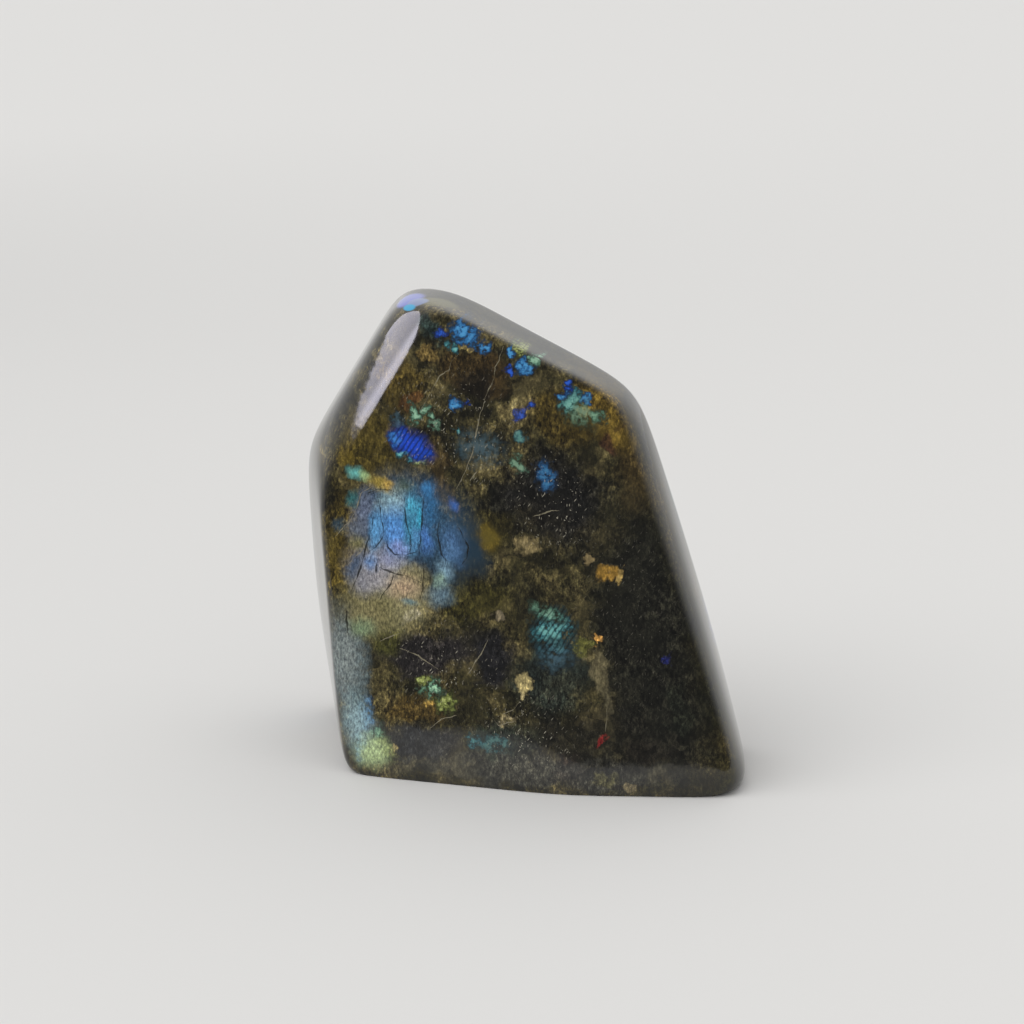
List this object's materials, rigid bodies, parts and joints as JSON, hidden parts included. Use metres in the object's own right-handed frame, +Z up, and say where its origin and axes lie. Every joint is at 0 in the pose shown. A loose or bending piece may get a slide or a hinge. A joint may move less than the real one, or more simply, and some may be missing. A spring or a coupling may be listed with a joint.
{
  "type": "labradorite freeform",
  "caption": "Palm-sized polished stone, hand-ground to irregular rounded faces, standing upright on a flat sawn base.",
  "frame": {"origin": "middle of the box around the stone, on the flat sawn base", "axes": "+Z up and along the height, -Y out of the broad polished front, +X to the front's right"},
  "size_m": [0.0896, 0.0466, 0.0887],
  "materials": {
    "polished_labradorite": "hand-polished to a high gloss, dark olive body with blue, teal and gold flashes"
  },
  "bodies": {
    "root": {"stone": "polished_labradorite"}
  },
  "joints": []
}
